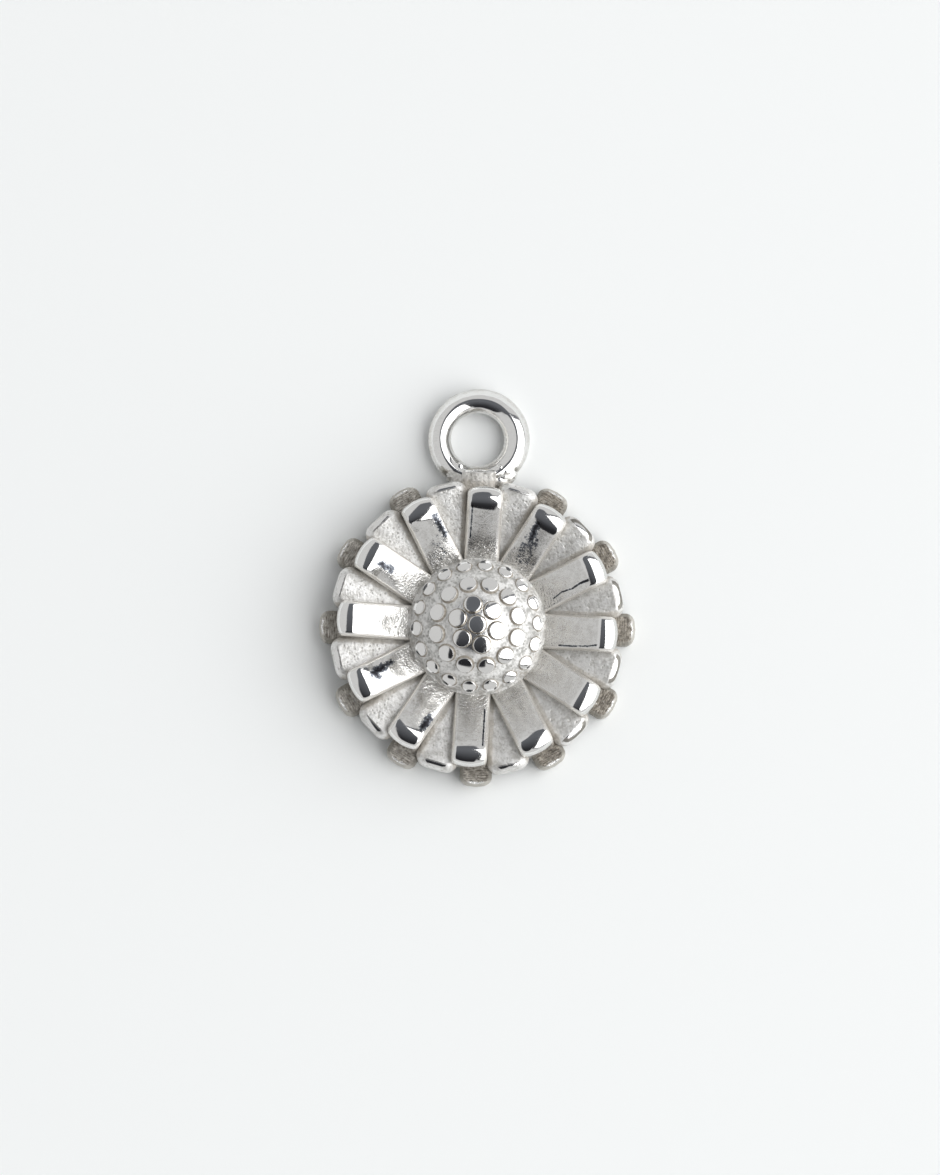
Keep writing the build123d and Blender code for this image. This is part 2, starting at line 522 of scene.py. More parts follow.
half_width = wedge_end_width / 2
wedge = add_block((wedge_root, -half_width, wedge_floor), (wedge_reach, half_width, wedge_crest))
select_edges(wedge, lambda edge: middle(edge).x < wedge_root + 0.01)
bpy.ops.transform.resize(
    value=(1.0, wedge_root_width / wedge_end_width, 1.0),
    center_override=(wedge_root, 0.0, 0.0),
)
select_edges(wedge, lambda edge: is_upright(edge) and middle(edge).x > wedge_reach - 0.1)
round_edges(wedge_corner, 8)
cut_top((wedge_reach - wedge_lip, 0.0, wedge_crest), -wedge_rise)
select_edges(
    wedge,
    lambda edge: any(face.normal.z > 0.9 for face in edge.link_faces)
    and is_corner(edge)
    and middle(edge).x > wedge_root + 0.1,
)
round_edges(wedge_lip, 8)
cut_across(1, -0.7, 0.7, 9)
cut_across(0, wedge_crown_start, wedge_reach - wedge_lip, 8)
close_piece()
# The outer end is crowned a little
for vertex in wedge.data.vertices:
    crowned = clamp((vertex.co.x - wedge_crown_start) / wedge_crown_ease)
    raised = clamp((vertex.co.z - wedge_floor) / wedge_crown_depth)
    vertex.co.z -= crowned * raised * vertex.co.y**2 / (2 * wedge_crown)
smooth(wedge)
lay_map(wedge, lambda point: (point.x, point.y))

wedges = []
for index in range(petal_count):
    turn = quarter + wedge_turn + petal_angle * (index + 0.5)
    wedges.append(copy_of(wedge, f"middle_petal_{index + 1}", turn))
bpy.data.objects.remove(wedge)

satin_silver, tree, shader, place = new_material("satin_silver")
outward, across = own_map(tree)
parts = parts_of(tree, place)
skin = place_group(tree, cast_skin, place, Grain=8.0)
# The film is thickest in the corners beside the upper petals
gap_side = times(tree, outward, math.tan(petal_angle / 2))
gap_side = minus(tree, gap_side, bar_width / 2 / math.cos(petal_angle / 2))
gap = minus(tree, gap_side, calc(tree, "ABSOLUTE", across))
hollow = soft_step(tree, gap, 0.2, 0.02)
lip_start = wedge_reach - wedge_lip + 0.05
lip_at = plus(tree, outward, times(tree, wobble(tree, place, 5.0), 0.05))
lip = soft_step(tree, lip_at, lip_start, lip_start + 0.03)
# The polish is a narrow lens on the lip, and on the right a painted dark line runs along its outer side, a
# painted reflection of the dark place above
right_side = soft_step(tree, parts["X"], 2.0, 4.0)
drop = minus(tree, wedge_crest, parts["Z"])
drop = calc(tree, "MULTIPLY_ADD", times(tree, across, across), 0.28, drop)
painted_dark_outline = band(tree, drop, 0.11, 0.14, 0.27, 0.31)
painted_dark_outline = times(tree, painted_dark_outline, times(tree, lip, right_side))
painted_dark_outline = times(tree, painted_dark_outline, within(tree, across, 0.65, 0.85))
lip = times(tree, lip, soft_step(tree, drop, 0.14, 0.11))
# Elsewhere a thin painted dark line runs where the polish starts, a painted reflection of the dark place
# above
painted_dark_line = band(tree, lip_at, lip_start - 0.05, lip_start - 0.02, lip_start, lip_start + 0.02)
painted_dark_line = times(tree, painted_dark_line, within(tree, across, 0.4, 0.6))
painted_dark_line = times(tree, painted_dark_line, minus(tree, 1.0, right_side))
film = place_group(tree, tarnish, place, Hollow=hollow, Amount=0.55)
colour = blend_colour(tree, skin["Shade"], (0.58, 0.57, 0.545, 1.0), (0.83, 0.825, 0.81, 1.0))
colour = blend_colour(tree, film["Mask"], colour, film["Color"])
colour = blend_colour(tree, lip, colour, silver_colour)
colour = blend_colour(tree, times(tree, painted_dark_line, 0.75), colour, (0.1, 0.095, 0.09, 1.0))
colour = blend_colour(tree, times(tree, painted_dark_outline, 0.8), colour, (0.09, 0.08, 0.06, 1.0))
metal = minus(tree, blend(tree, lip, 0.7, 1.0), times(tree, hollow, 0.5))
height = times(tree, minus(tree, skin["Height"], skin_level), blend(tree, lip, 1.0, 0.03))
feed(tree, shader, colour, blend(tree, lip, 0.44, 0.08), height, 0.05, metal)
for piece in wedges:
    real_size(piece)
    dress(piece, satin_silver)
    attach(piece, "root")
    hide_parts("flower_pendant")

# Upper petals: twelve narrow bars, cast in the same piece of silver, cupped so that they rise outward.
# The ends roll over in a polished crest, and the satin flats carry a few dark marks: painted reflections
# of the dark place above.
bar_root = 2.7
bar_reach = flower_radius - 0.85
bar_floor = 1.1
bar_crest = 3.0
bar_rise = math.radians(15.0)
bar_bend = math.radians(30.0)
bar_crest_radius = 0.85
bar_end_radius = 0.45
bar_rim = 0.21
bar_turn = math.radians(-3.0)
# The curves across as radii: the root's is slight, the flats' is the strongest, the crests' is between
root_crown = 12.5
flat_crown = 3.0
bar_crown = 4.6
crown_start = 3.4
crown_ease = 1.2
crown_floor = 0.4
crown_depth = 0.6
crest_ease_start = 5.2
end_bow = 0.3

# A crest is two curves that meet at a bend. Each is cut as the corner of two planes and rounded then,
# a little less than fully, so that the two never touch
short_of_full = 0.98
bend_x = bar_reach - bar_end_radius + bar_end_radius * math.sin(bar_bend)
bend_z = bar_crest - bar_crest_radius + bar_crest_radius * math.cos(bar_bend)
bend_point = Vector((bend_x, 0.0, bend_z))
bend_line = Vector((math.cos(bar_bend), 0.0, -math.sin(bar_bend)))
crest_offset = bar_crest_radius * math.tan((bar_rise + bar_bend) / 2)
end_offset = bar_end_radius * math.tan((quarter - bar_bend) / 2)
crest_corner = bend_point - bend_line * crest_offset
end_corner = bend_point + bend_line * end_offset
flat_end = crest_corner.x - crest_offset * math.cos(bar_rise)


def flat_height(at):
    """Height of the upper petals' rising flats at a distance from the flower's axis."""
    return crest_corner.z - (crest_corner.x - at) * math.tan(bar_rise)


def bar_shares(point):
    """How far up a petal's sides, and how far along from its flat to its crest, a point is."""
    raised = clamp((point.z - bar_floor - crown_floor) / crown_depth)
    to_crest = clamp((point.x - crest_ease_start) / (flat_end - crest_ease_start))
    return raised, to_crest


spare = 0.3
half_width = bar_width / 2
bar = add_block((bar_root, -half_width, bar_floor), (bar_reach, half_width, bar_crest + spare))
cut_top(crest_corner, -bar_rise)
cut_top(bend_point, bar_bend)
select_edges(bar, lambda edge: (middle(edge) - crest_corner).length < 0.02)
round_edges(bar_crest_radius * short_of_full, 14, bar_rise + bar_bend)
select_edges(bar, lambda edge: (middle(edge) - end_corner).length < 0.02)
round_edges(bar_end_radius * short_of_full, 14, quarter - bar_bend)
select_edges(
    bar,
    lambda edge: is_corner(edge)
    and abs(middle(edge).y) > half_width - 0.01
    and middle(edge).x > bar_root + 0.05
    and middle(edge).z > bar_floor + 0.1,
)
round_edges(bar_rim, 7)
# The cuts give the crowns their smoothness and the painted reflections their outlines
cut_across(1, -0.6, 0.6, 25)
cut_across(0, 3.2, flat_end - 0.06, 52)
close_piece()
# The flats and the crests are crowned, and the ends bow
for vertex in bar.data.vertices:
    raised, to_crest = bar_shares(vertex.co)
    from_root = clamp((vertex.co.x - crown_start) / crown_ease)
    curve = 1 / root_crown + (1 / flat_crown - 1 / root_crown) * from_root
    curve = curve * (1 - to_crest) + to_crest / bar_crown
    vertex.co.z -= raised * curve * vertex.co.y**2 / 2
    vertex.co.x -= raised * max(0.0, vertex.co.x - flat_end) * vertex.co.y**2 * end_bow
smooth(bar)
lay_map(bar, lambda point: (point.x, point.y))

# Petals as on a clock: how many degrees their flats lean sideways, and the ones worn smooth
flat_leans = {7: 4, 8: -5, 10: 8, 11: 5, 12: 2}
worn_petals = (7, 8, 9, 10, 11)
# How deep the dark is in the thin solid lines, in the specks and where there is no mark
solid = 0.3
specks = -0.005
clear = -0.3
# How fast a mark deepens inward from its edge: the solid lines, the specks and all other marks
steepness = {solid: 4.5, specks: 1.0}
soft_steepness = 0.8
# The dark marks are painted reflections, where a flat mirrors the dark place above
painted_reflection_marks = [
    # petal as on a clock, outward and across at the mark's two ends, half its width, how deep the dark is
    (12, (4.2, 0.59), (5.7, 0.57), 0.045, solid),
    (1, (4.85, 0.18), (5.8, 0.3), 0.2, 0.15),
    (1, (3.95, 0.0), (4.8, 0.1), 0.36, 0.025),
    (2, (3.8, -0.42), (4.3, -0.33), 0.04, solid),
    (2, (4.3, -0.33), (4.8, -0.4), 0.045, solid),
    (2, (4.8, -0.4), (5.3, -0.36), 0.05, solid),
    (2, (5.3, -0.36), (5.8, -0.4), 0.07, solid),
    (3, (3.9, -0.64), (4.6, -0.66), 0.045, solid),
    (3, (4.6, -0.66), (5.3, -0.62), 0.045, solid),
    (3, (5.3, -0.62), (5.84, -0.52), 0.05, solid),
    (6, (3.9, 0.6), (5.6, 0.6), 0.045, solid),
    (7, (4.85, 0.52), (5.4, 0.5), 0.22, 0.18),
    (7, (4.35, 0.36), (4.7, 0.42), 0.1, specks),
    (8, (5.25, -0.02), (5.35, -0.2), 0.22, 0.18),
    (8, (4.85, -0.24), (5.25, -0.2), 0.24, 0.18),
    (8, (4.4, -0.3), (4.9, -0.26), 0.15, 0.14),
    (10, (4.85, 0.02), (5.4, 0.06), 0.2, 0.12),
    (11, (4.6, -0.58), (5.5, -0.54), 0.19, 0.1),
    (11, (3.9, 0.05), (4.4, -0.1), 0.3, specks),
]
bars = []
for index in range(petal_count):
    clock = 12 - index
    copy = copy_of(bar, f"upper_petal_{clock}")
    reflection_layer = copy.data.attributes.new("painted_reflection_mark", "FLOAT", "POINT")
    worn = copy.data.attributes.new("worn", "FLOAT", "POINT")
    lean = math.tan(math.radians(flat_leans.get(clock, 0)))
    for vertex in copy.data.vertices:
        raised, to_crest = bar_shares(vertex.co)
        vertex.co.z -= lean * vertex.co.y * raised * (1 - to_crest)
        worn.data[vertex.index].value = 1.0 if clock in worn_petals else 0.0
        depth = clear
        for petal, start, end, half_width, deepest in painted_reflection_marks:
            if petal == clock:
                nearest, share = intersect_point_line(vertex.co.xy, start, end)
                nearest = Vector(start).lerp(Vector(end), clamp(share))
                inside = half_width - (vertex.co.xy - nearest).length
                depth = max(depth, min(deepest, inside * steepness.get(deepest, soft_steepness)))
        reflection_layer.data[vertex.index].value = depth
    copy.rotation_euler = (0.0, 0.0, quarter + bar_turn + petal_angle * index)
    apply_place(copy)
    bars.append(copy)
bpy.data.objects.remove(bar)

bar_silver, tree, shader, place = new_material("bar_silver")
outward, across = own_map(tree)
parts = parts_of(tree, place)
skin = place_group(tree, cast_skin, place, Grain=11.0)
shine = place_group(tree, hand_polish, place, Waves=1.1)
ragged = wobble(tree, place, 5.0, 4.0, 0.65)
fine_ragged = wobble(tree, place, 9.0, 4.0, 0.7)
# The polish runs over the crest and stops short of the petal's end and sides
crest_from = plus(tree, outward, times(tree, ragged, 0.12))
crest = soft_step(tree, crest_from, flat_end - 0.34, flat_end - 0.24)
crest_top = soft_step(tree, crest_from, flat_end - 0.14, flat_end - 0.04)
crest_until = calc(tree, "MULTIPLY_ADD", times(tree, across, across), 0.22, outward)
crest = times(tree, crest, soft_step(tree, crest_until, bar_reach - 0.08, bar_reach - 0.15))
side = soft_step(tree, calc(tree, "ABSOLUTE", across), 0.66, 0.75)
polish = times(tree, crest, minus(tree, 1.0, side))
inner = soft_step(tree, plus(tree, outward, times(tree, ragged, 1.2)), 4.3, 3.5)
worn = add_node(tree, "Attribute", {}, attribute_name="worn").outputs["Fac"]
satin = minus(tree, blend(tree, skin["Shade"], 0.25, 0.19), times(tree, worn, 0.11))
satin = calc(tree, "MAXIMUM", minus(tree, satin, times(tree, inner, 0.1)), 0.06)
roughness = plus(tree, blend(tree, polish, satin, 0.07), times(tree, shine["Scratches"], 0.05))
# The film lies low on the petal's sides, where they come out of the middle petals
wedge_foot = wedge_crest - (wedge_reach - wedge_lip) * math.tan(wedge_rise)
wedge_top = calc(tree, "MULTIPLY_ADD", outward, math.tan(wedge_rise), wedge_foot)
hollow = soft_step(tree, minus(tree, parts["Z"], wedge_top), 0.35, 0.05)
film = place_group(tree, tarnish, place, Hollow=times(tree, hollow, 1.2), Amount=0.85)
covered = times(tree, film["Mask"], hollow)
colour = blend_colour(tree, skin["Shade"], (0.69, 0.68, 0.66, 1.0), (0.79, 0.785, 0.77, 1.0))
colour = blend_colour(tree, side, colour, (0.78, 0.76, 0.72, 1.0))
colour = blend_colour(tree, times(tree, polish, crest_top), colour, silver_colour)
colour = blend_colour(tree, times(tree, covered, 0.75), colour, film["Color"])
metal = minus(tree, blend(tree, side, 1.0, 0.5), times(tree, covered, 0.4))
# The painted reflections have ragged edges, and stop at the crest's top
reflection_mark = add_node(tree, "Attribute", {}, attribute_name="painted_reflection_mark").outputs["Fac"]
reflection_mark = plus(tree, reflection_mark, times(tree, fine_ragged, 0.35))
reflection_mark = plus(tree, reflection_mark, times(tree, ragged, 0.3))
reflection_colour = soft_step(tree, reflection_mark, 0.04, 0.15)
reflection_colour = blend_colour(tree, reflection_colour, (0.2, 0.215, 0.24, 1.0), (0.03, 0.03, 0.035, 1.0))
reflection_mark = times(tree, soft_step(tree, reflection_mark, 0.01, 0.04), minus(tree, 1.0, crest_top))
colour = blend_colour(tree, reflection_mark, colour, reflection_colour)
grain_part = blend(tree, polish, blend(tree, inner, 0.4, 3.4), 0.06)
height = times(tree, minus(tree, skin["Height"], skin_level), grain_part)
height = plus(tree, height, times(tree, shine["Height"], 0.5))
# Burnishing has dished the flats: up to the crests' foot they mirror as if they rose more steeply,
# and less so near their root
dish_slope = math.tan(math.radians(19.0)) / math.cos(bar_rise)
dish_end = flat_end - 0.3
dish_blend = 0.35
root_end = 4.4
root_easing = 0.26
bar_depth = 0.02
beyond = add_node(
    tree,
    "MapRange",
    {"Value": outward, "From Min": dish_end, "From Max": dish_end + dish_blend},
).outputs["Result"]
levelled = times(tree, beyond, minus(tree, 2.0, beyond))
dish = calc(tree, "MULTIPLY_ADD", levelled, dish_blend / 2, calc(tree, "MINIMUM", outward, dish_end))
root_part = calc(tree, "MAXIMUM", minus(tree, root_end, outward), 0.0)
dish = calc(tree, "MULTIPLY_ADD", times(tree, root_part, root_part), root_easing / 2, dish)
height = calc(tree, "MULTIPLY_ADD", dish, dish_slope / bar_depth, height)
feed(tree, shader, colour, roughness, height, bar_depth, metal)
for piece in bars:
    real_size(piece)
    dress(piece, bar_silver)
    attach(piece, "root")
    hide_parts("flower_pendant")

# Dome: the raised middle of the flower, cast with the petals and left satin between the studs.
# A soft cove runs round its foot where it meets the upper petals.
dome_radius = 3.2
dome_curve = 3.7
dome_cove = 0.08
cove_steps = 6
dome_skirt = 1.2

dome_centre = flat_height(dome_radius) - math.sqrt(dome_curve**2 - dome_radius**2)
# The cove's centre is where a circle touches both the dome and the petals' flats, so it lies on a line
# that rises with the flats and at cove_reach from the dome's centre
slant = math.tan(bar_rise)
lift = flat_height(0.0) + dome_cove / math.cos(bar_rise) - dome_centre
cove_reach = dome_curve + dome_cove
half_term = slant * lift
square_term = 1 + slant**2
cove_middle = math.sqrt(half_term**2 - square_term * (lift**2 - cove_reach**2)) - half_term
cove_middle /= square_term
cove_height = dome_centre + lift + slant * cove_middle
foot_slope = math.asin(cove_middle / cove_reach)
foot_height = dome_centre + dome_curve * math.cos(foot_slope)
bpy.ops.mesh.primitive_uv_sphere_add(
    segments=128,
    ring_count=128,
    radius=dome_curve,
    location=(0, 0, dome_centre),
)
dome = bpy.context.active_object
dome.name = "dome"
apply_place(dome)
open_piece(dome)
bpy.ops.mesh.select_all(action="SELECT")
bpy.ops.mesh.bisect(plane_co=(0, 0, foot_height), plane_no=(0, 0, -1), clear_outer=True)
dome_profile = [(dome_curve * math.sin(foot_slope), foot_height)]
for step in range(1, cove_steps + 1):
    slope = foot_slope + (-bar_rise - foot_slope) * step / cove_steps
    cove_radius = cove_middle - dome_cove * math.sin(slope)
    dome_profile.append((cove_radius, cove_height - dome_cove * math.cos(slope)))
dome_profile.append((cove_radius, dome_skirt))
add_rings(dome, dome_profile)
bpy.ops.mesh.edge_face_add()
close_piece()
smooth(dome, 60.0)
lay_map(dome, lambda point: (point.xy.length, point.z))
real_size(dome)

dome_silver, tree, shader, place = new_material("dome_silver")
outward = own_map(tree)[0]
skin = place_group(tree, cast_skin, place, Grain=8.0)
foot = times(tree, soft_step(tree, outward, 2.4, 3.1), 0.55)
film = place_group(tree, tarnish, place, Hollow=foot, Amount=0.65)
# The highest part, between the middle studs, was reached by the polishing wheel too
worn_from = 1.7
worn_to = 1.1
worn_top = soft_step(tree, outward, worn_from, worn_to)
ground_dark = (0.5, 0.495, 0.475, 1.0)
ground_pale = (0.84, 0.835, 0.82, 1.0)
colour = blend_colour(tree, skin["Shade"], ground_dark, ground_pale)
colour = blend_colour(tree, film["Mask"], colour, film["Color"])
colour = blend_colour(tree, times(tree, worn_top, 0.7), colour, silver_colour)
metal = blend(tree, worn_top, 0.55, 1.0)
roughness = blend(tree, worn_top, blend(tree, skin["Shade"], 0.9, 0.7), 0.22)
height = times(tree, skin["Height"], blend(tree, worn_top, 1.0, 0.3))
feed(tree, shader, colour, roughness, height, 0.06, metal)
dress(dome, dome_silver)
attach(dome, "root")
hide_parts("flower_pendant")

# Studs: one in the middle and rings of six, twelve and eighteen, raised from the dome in the casting.
# Each is a low button with a gently curved cap, and the caps take the highest polish of the piece.
stud_radius = 0.41
stud_edge = 0.05
stud_foot = 0.05
stud_skirt = 0.1
stud_sink = 0.004
stud_root = 0.1
cap_rings = 5
corner_steps = 4
stud_turn = math.radians(90 + 13)
studs_added = 6
stud_rings = [
    # ring's radius over the dome's, stud's size over stud_radius, its cap's curve, its height,
    # how much it leans over the dome's lean
    (0.0, 1.02, 3.0, 0.12, 1.0),
    (0.303, 1.02, 3.0, 0.15, 1.0),
    (0.606, 0.97, 1.85, 0.175, 1.0),
    (0.88, 0.82, 1.3, 0.18, 0.78),
]


def stud_profile(radius, cap_curve, height):
    """Radii and heights of a stud: its skirt on the dome, its foot, its edge and its cap."""
    rim = radius - stud_edge
    cap_lean = math.asin(rim / cap_curve)
    centre = height - cap_curve
    rim_height = centre + cap_curve * math.cos(cap_lean) - stud_edge * math.cos(cap_lean)
    rim -= stud_edge * math.sin(cap_lean) - stud_edge
    outer = radius + stud_foot + stud_skirt
    profile = [(outer, -stud_sink - outer**2 / (2 * dome_curve))]
    for step in range(corner_steps + 1):
        turn = quarter * step / corner_steps
        foot = radius + stud_foot * (1 - math.sin(turn))
        profile.append((foot, stud_foot * (1 - math.cos(turn)) - foot**2 / (2 * dome_curve)))
    for step in range(corner_steps + 1):
        turn = quarter + (cap_lean - quarter) * step / corner_steps
        edge_radius = rim - stud_edge + stud_edge * math.sin(turn)
        profile.append((edge_radius, rim_height + stud_edge * math.cos(turn)))
    for ring in range(1, cap_rings + 1):
        turn = cap_lean * (1 - ring / (cap_rings + 0.5))
        profile.append((cap_curve * math.sin(turn), centre + cap_curve * math.cos(turn)))
    return profile


def make_stud(radius, cap_curve, height):
    profile = stud_profile(radius, cap_curve, height)
    bpy.ops.mesh.primitive_circle_add(vertices=32, radius=profile[0][0], location=(0, 0, profile[0][1]))
    made = bpy.context.active_object
    apply_place(made)
    open_piece(made)
    add_rings(made, profile)
    select_edges(made, lambda edge: edge.is_boundary and middle(edge).z > height / 2)
    bpy.ops.mesh.edge_face_add()
    bpy.ops.mesh.poke()
    select_edges(made, lambda edge: edge.is_boundary)
    bpy.ops.mesh.extrude_edges_move(TRANSFORM_OT_translate={"value": (0, 0, -stud_root)})
    bpy.ops.mesh.edge_face_add()
    close_piece()
    smooth(made, 60.0)
    lay_map(made, lambda point: (point.xy.length - radius, point.z))
    return made


studs = []
for ring, (ring_share, size_share, cap_curve, height, leaning) in enumerate(stud_rings):
    stud = make_stud(stud_radius * size_share, cap_curve, height)
    count = max(1, ring * studs_added)
    ring_reach = ring_share * dome_radius
    tilt = math.asin(ring_reach / dome_curve)
    ring_height = dome_centre + dome_curve * math.cos(tilt)
    for index in range(count):
        copy = copy_of(stud, f"stud_{len(studs) + 1}")
        around = stud_turn + index * math.radians(360 / count)
        copy.rotation_euler = (0.0, tilt * leaning, around)
        copy.location = (ring_reach * math.cos(around), ring_reach * math.sin(around), ring_height)
        apply_place(copy)
        studs.append(copy)
    bpy.data.objects.remove(stud)
studs = join(studs, "studs")
real_size(studs)

stud_silver, tree, shader, place = new_material("stud_silver")
# How far a point is out from the edge of its own stud's cap
beyond = own_map(tree)[0]
parts = parts_of(tree, place)
skin = place_group(tree, cast_skin, place, Grain=8.0)
shine = place_group(tree, hand_polish, place, Waves=1.6)
cap = soft_step(tree, beyond, 0.0, -0.03)
# The groove round each cap gets brown film: partly tarnish, partly painted shade for the shadowed groove
groove = band(tree, beyond, -0.03, 0.0, 0.05, 0.12)
film = place_group(tree, tarnish, place, Hollow=times(tree, groove, 1.4), Amount=0.9)
colour = blend_colour(tree, skin["Shade"], ground_dark, ground_pale)
colour = blend_colour(tree, times(tree, film["Mask"], groove), colour, film["Color"])
colour = blend_colour(tree, cap, colour, silver_colour)
from_axis = plus(tree, calc(tree, "POWER", parts["X"], 2.0), calc(tree, "POWER", parts["Y"], 2.0))
worn_top = soft_step(tree, calc(tree, "SQRT", from_axis), worn_from, worn_to)
roughness = blend(tree, cap, blend(tree, worn_top, 0.8, 0.25), 0.08)
roughness = plus(tree, roughness, times(tree, shine["Scratches"], 0.05))
metal = blend(tree, calc(tree, "MAXIMUM", cap, worn_top), 0.55, 1.0)
height = times(tree, skin["Height"], blend(tree, cap, blend(tree, worn_top, 5.0, 1.5), 0.1))
height = plus(tree, height, shine["Height"])
feed(tree, shader, colour, roughness, height, 0.01, metal)
dress(studs, stud_silver)
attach(studs, "root")
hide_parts("flower_pendant")

# Hanging loop: a closed ring of round silver wire, whose hole runs from front to back.
# It is soldered on lying flat and polished all round.
wire_radius = 0.575
ring_radius = 1.84
loop_middle = highest.y / mm - ring_radius - wire_radius
wire_height = plate_height / 2
# The power that shapes the wire's top, where 2 is round, and how much it grows towards the ring's far side
ridge_power = 1.4
farther_power = 0.35
unevenness = 0.015
hole_shift = 0.07

bpy.ops.mesh.primitive_torus_add(
    major_radius=ring_radius,
    minor_radius=wire_radius,
    major_segments=120,
    minor_segments=40,
    location=(0, loop_middle, wire_height),
)
loop = bpy.context.active_object
loop.name = "hanging_loop"
apply_place(loop)
# Filing and wear have given the wire a soft ridge along its top, and it isn't quite even
for vertex in loop.data.vertices:
    arm = Vector((vertex.co.x, vertex.co.y - loop_middle))
    inset = min(1.0, abs(arm.length - ring_radius) / wire_radius)
    if vertex.co.z > wire_height:
        power = ridge_power + farther_power * max(0.0, arm.y / arm.length) ** 2
        ridge = (1 - inset**power) ** (1 / power)
        vertex.co.z = wire_height + wire_radius * ridge
        vertex.co.z -= unevenness * (0.5 + 0.5 * noise.noise(vertex.co * 1.3)) * ridge
    if arm.length < ring_radius:
        vertex.co.x -= hole_shift * (ring_radius - arm.length) / wire_radius
smooth(loop, 60.0)
lay_map(loop, lambda point: (Vector((point.x, point.y - loop_middle)).length - ring_radius, point.z))
real_size(loop)

loop_silver, tree, shader, place = new_material("loop_silver")
off_ridge = own_map(tree)[0]
parts = parts_of(tree, place)
shine = place_group(tree, hand_polish, place, Waves=1.2)
lower = soft_step(tree, calc(tree, "ABSOLUTE", off_ridge), 0.3, 0.5)
hollow = blend(tree, lower, 0.05, 0.6)
film = place_group(tree, tarnish, place, Hollow=hollow, Amount=0.5)
colour = blend_colour(tree, shine["Scratches"], silver_colour, (0.8, 0.795, 0.78, 1.0))
colour = blend_colour(tree, film["Mask"], colour, film["Color"])
roughness = plus(tree, blend(tree, lower, 0.08, 0.24), times(tree, shine["Scratches"], 0.06))
# The far side of the ring was worn to a slant: its far end mirrors as if it leaned back by 13 degrees
loop_depth = 0.03
beyond = calc(tree, "MAXIMUM", minus(tree, parts["Y"], loop_middle), 0.0)
slanted = -math.tan(math.radians(13.0)) / (2 * ring_radius * loop_depth)
height = calc(tree, "MULTIPLY_ADD", times(tree, beyond, beyond), slanted, shine["Height"])
feed(tree, shader, colour, roughness, height, loop_depth)
dress(loop, loop_silver)
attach(loop, "root")
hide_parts("flower_pendant")

# Solder: the metal that ran into the corners between the loop and the lower petal under it.
# It froze in small bright lumps, the larger one on the right, over a broad brown pillow.
pillow_edge = 0.24
solder_lumps = [
    # x, y and z of the lump's middle, its radius
    (1.35, 7.4, 0.55, 0.5),
    (1.0, 7.05, 0.6, 0.5),
    (0.75, 7.15, 0.65, 0.42),
    (-1.1, 7.35, 0.5, 0.48),
    (-0.85, 7.05, 0.6, 0.5),
    (0.0, 7.1, 0.55, 0.55),
    (1.05, 7.62, 0.98, 0.2),
    (1.32, 7.5, 0.92, 0.24),
    (1.55, 7.66, 0.86, 0.2),
    (0.86, 7.4, 0.98, 0.2),
    (1.22, 7.25, 0.9, 0.22),
    (-0.92, 7.7, 0.95, 0.2),
    (-0.8, 7.45, 0.96, 0.2),
    (-1.08, 7.42, 0.88, 0.22),
]
wave_height = 0.04
wave_spacing = 0.6
solder_grid = 0.04
lumps = []
for x, y, z, radius in solder_lumps:
    bpy.ops.mesh.primitive_ico_sphere_add(subdivisions=4, radius=radius, location=(x, y, z))
    lumps.append(bpy.context.active_object)
    apply_place(lumps[-1])
# The pillow covers the lower petal that carries the loop
pillow = add_block((-0.82, 6.37, 0.53), (0.82, 7.53, 1.35))
bpy.ops.mesh.select_all(action="SELECT")
round_edges(pillow_edge, 4)
close_piece()
lumps.append(pillow)
solder = join(lumps, "solder")
apply_modifier(solder, "REMESH", mode="VOXEL", voxel_size=solder_grid)
apply_modifier(solder, "SMOOTH", factor=0.5, iterations=6)
for vertex in solder.data.vertices:
    vertex.co += vertex.normal * wave_height * noise.noise(vertex.co / wave_spacing)
smooth(solder, 80.0)
lay_map(solder, lambda point: (point.x, point.y))
real_size(solder)

solder_silver, tree, shader, place = new_material("solder_silver")
skin = place_group(tree, cast_skin, place, Grain=6.0)
across, along = own_map(tree)
# The lumps beside the pillow and against the loop are bright, and the pillow is brown towards the flower
hollow = times(tree, soft_step(tree, along, 7.35, 6.75), 0.9)
film = place_group(tree, tarnish, place, Hollow=hollow, Amount=0.7)
bright = soft_step(tree, clouds(tree, place, 2.4), 0.42, 0.58)
bright = times(tree, bright, soft_step(tree, calc(tree, "ABSOLUTE", across), 0.82, 0.98))
bright = calc(tree, "MAXIMUM", bright, soft_step(tree, along, 7.36, 7.44))
colour = blend_colour(tree, skin["Shade"], (0.36, 0.345, 0.32, 1.0), (0.72, 0.705, 0.675, 1.0))
colour = blend_colour(tree, film["Mask"], colour, film["Color"])
colour = blend_colour(tree, bright, colour, silver_colour)
metal = blend(tree, bright, 0.4, 1.0)
height = times(tree, minus(tree, skin["Height"], skin_level), blend(tree, bright, 1.0, 0.4))
feed(tree, shader, colour, blend(tree, bright, 0.5, 0.12), height, 0.08, metal)
dress(solder, solder_silver)
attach(solder, "root")
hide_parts("flower_pendant")

# Table: a plain white sheet of smooth board that the pendant lies on.
# It isn't part of the object.
table_size = 4.0
table_colour = (0.9, 0.915, 0.91, 1.0)
bpy.ops.mesh.primitive_plane_add(size=table_size, location=(0, 0, lowest.z))
table = bpy.context.active_object
table.name = "table"
board = bpy.data.materials.new("white_board")
board.use_nodes = True
board_shader = board.node_tree.nodes["Principled BSDF"]
board_shader.inputs["Base Color"].default_value = table_colour
board_shader.inputs["Roughness"].default_value = 0.9
board_shader.inputs["Specular IOR Level"].default_value = 0.1
table.data.materials.append(board)

# Light: one large soft panel on the right and a light grey room.
# The room is dark only round the place that the photo is taken from.
panel_distance = 0.9
panel_lean = math.radians(50.0)
panel_roll = math.radians(12.0)
panel_size = (1.32, 1.5)
panel_shift = -0.09
panel_frame = 0.14
panel_radiance = 2.55
room_grey = (0.66, 0.66, 0.66, 1.0)
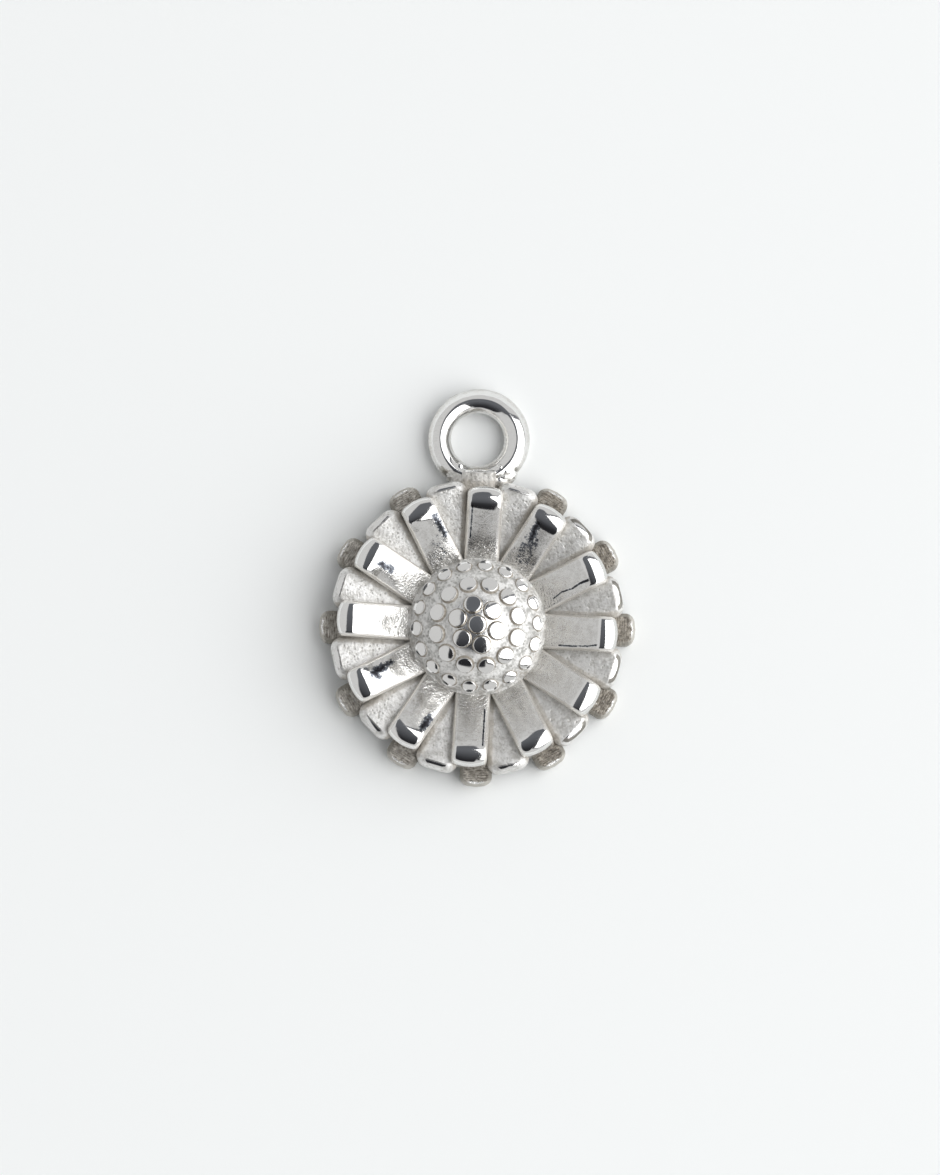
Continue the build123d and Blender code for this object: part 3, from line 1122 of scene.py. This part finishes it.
# The dark place's sides, foot and head, in degrees from straight above
dark_left, dark_right = -22, 14
dark_foot, dark_head = -60, 50
panel_data = bpy.data.lights.new("soft_panel", "AREA")
panel_data.shape = "RECTANGLE"
panel_data.size, panel_data.size_y = panel_size
panel_data.energy = panel_radiance * math.pi * panel_size[0] * panel_size[1]
panel = bpy.data.objects.new("soft_panel", panel_data)
bpy.context.scene.collection.objects.link(panel)
panel_turn = Matrix.Rotation(panel_lean, 3, "Y") @ Matrix.Rotation(panel_roll, 3, "Z")
panel.rotation_euler = panel_turn.to_euler()
panel.location = Matrix.Rotation(panel_lean, 3, "Y") @ Vector((0.0, panel_shift, panel_distance))

room = bpy.data.worlds.new("room")
room.use_nodes = True
bpy.context.scene.world = room
tree = room.node_tree
background = tree.nodes["Background"]
direction = tree.nodes.new("ShaderNodeTexCoord").outputs["Generated"]
parts = parts_of(tree, direction)
sideways = calc(tree, "ARCTAN2", parts["X"], parts["Z"])
upward = calc(tree, "ARCTAN2", parts["Y"], parts["Z"])


def between(value, low, high, blur):
    """1 between two angles in degrees, with soft ends, else 0."""
    ends = (low - blur, low + blur, high - blur, high + blur)
    return band(tree, value, *[math.radians(end) for end in ends])


# The dark place widens towards the foot of the picture, and a thin dark frame runs round the panel
widening = times(tree, calc(tree, "MINIMUM", upward, 0.0), -0.5)
dark = between(plus(tree, sideways, widening), dark_left, 90, 1.5)
dark = times(tree, dark, between(upward, dark_foot, dark_head, 3))
dark = times(tree, dark, between(sideways, -60, dark_right, 1.5))
seen = add_node(
    tree,
    "VectorRotate",
    {"Vector": direction, "Rotation": panel_turn.to_euler()},
    rotation_type="EULER_XYZ",
    invert=True,
).outputs["Vector"]
seen = parts_of(tree, seen)
shift = Matrix.Rotation(-panel_roll, 2) @ Vector((0.0, panel_shift))
frame_blur = 0.03
frame_part = calc(tree, "GREATER_THAN", seen["Z"], 0.1)
for axis, middle_at, side in zip("XY", shift, panel_size):
    half = side / 2 / panel_distance + panel_frame
    off_middle = minus(tree, calc(tree, "DIVIDE", seen[axis], seen["Z"]), middle_at / panel_distance)
    inside = within(tree, off_middle, half - frame_blur, half + frame_blur)
    frame_part = times(tree, frame_part, inside)
glow = soft_step(tree, upward, math.radians(-48), math.radians(22))
dark_colour = blend_colour(tree, glow, (0.022, 0.022, 0.025, 1.0), (0.13, 0.136, 0.15, 1.0))
dark = calc(tree, "MAXIMUM", dark, frame_part)
tree.links.new(blend_colour(tree, dark, room_grey, dark_colour), background.inputs["Color"])

# Camera: straight above, leaning a little towards the foot of the picture, with a long lens.
photo_height = 1175
photo_scale = 21.0
photo_middle = (-0.36, 2.0)
camera_height = math.radians(86.25)
camera_roll = math.radians(0.55)
lens = 200.0
sensor = 36.0
view_height = photo_height / photo_scale * mm
camera_data = bpy.data.cameras.new("camera")
camera_data.lens = lens
camera_data.sensor_width = sensor
camera_data.clip_start = 0.01
camera_data.clip_end = 10.0
camera = bpy.data.objects.new("camera", camera_data)
bpy.context.scene.collection.objects.link(camera)
target = Vector((photo_middle[0] * mm, photo_middle[1] * mm, 0.0))
camera_distance = view_height * lens / sensor
camera_direction = Vector((0.0, -math.cos(camera_height), math.sin(camera_height)))
camera.location = target + camera_distance * camera_direction
camera_turn = Euler((quarter - camera_height, 0.0, 0.0)).to_matrix() @ Matrix.Rotation(camera_roll, 3, "Z")
camera.rotation_euler = camera_turn.to_euler()
bpy.context.scene.camera = camera

bpy.context.scene.view_settings.view_transform = "Standard"
bpy.context.scene.view_settings.look = "None"
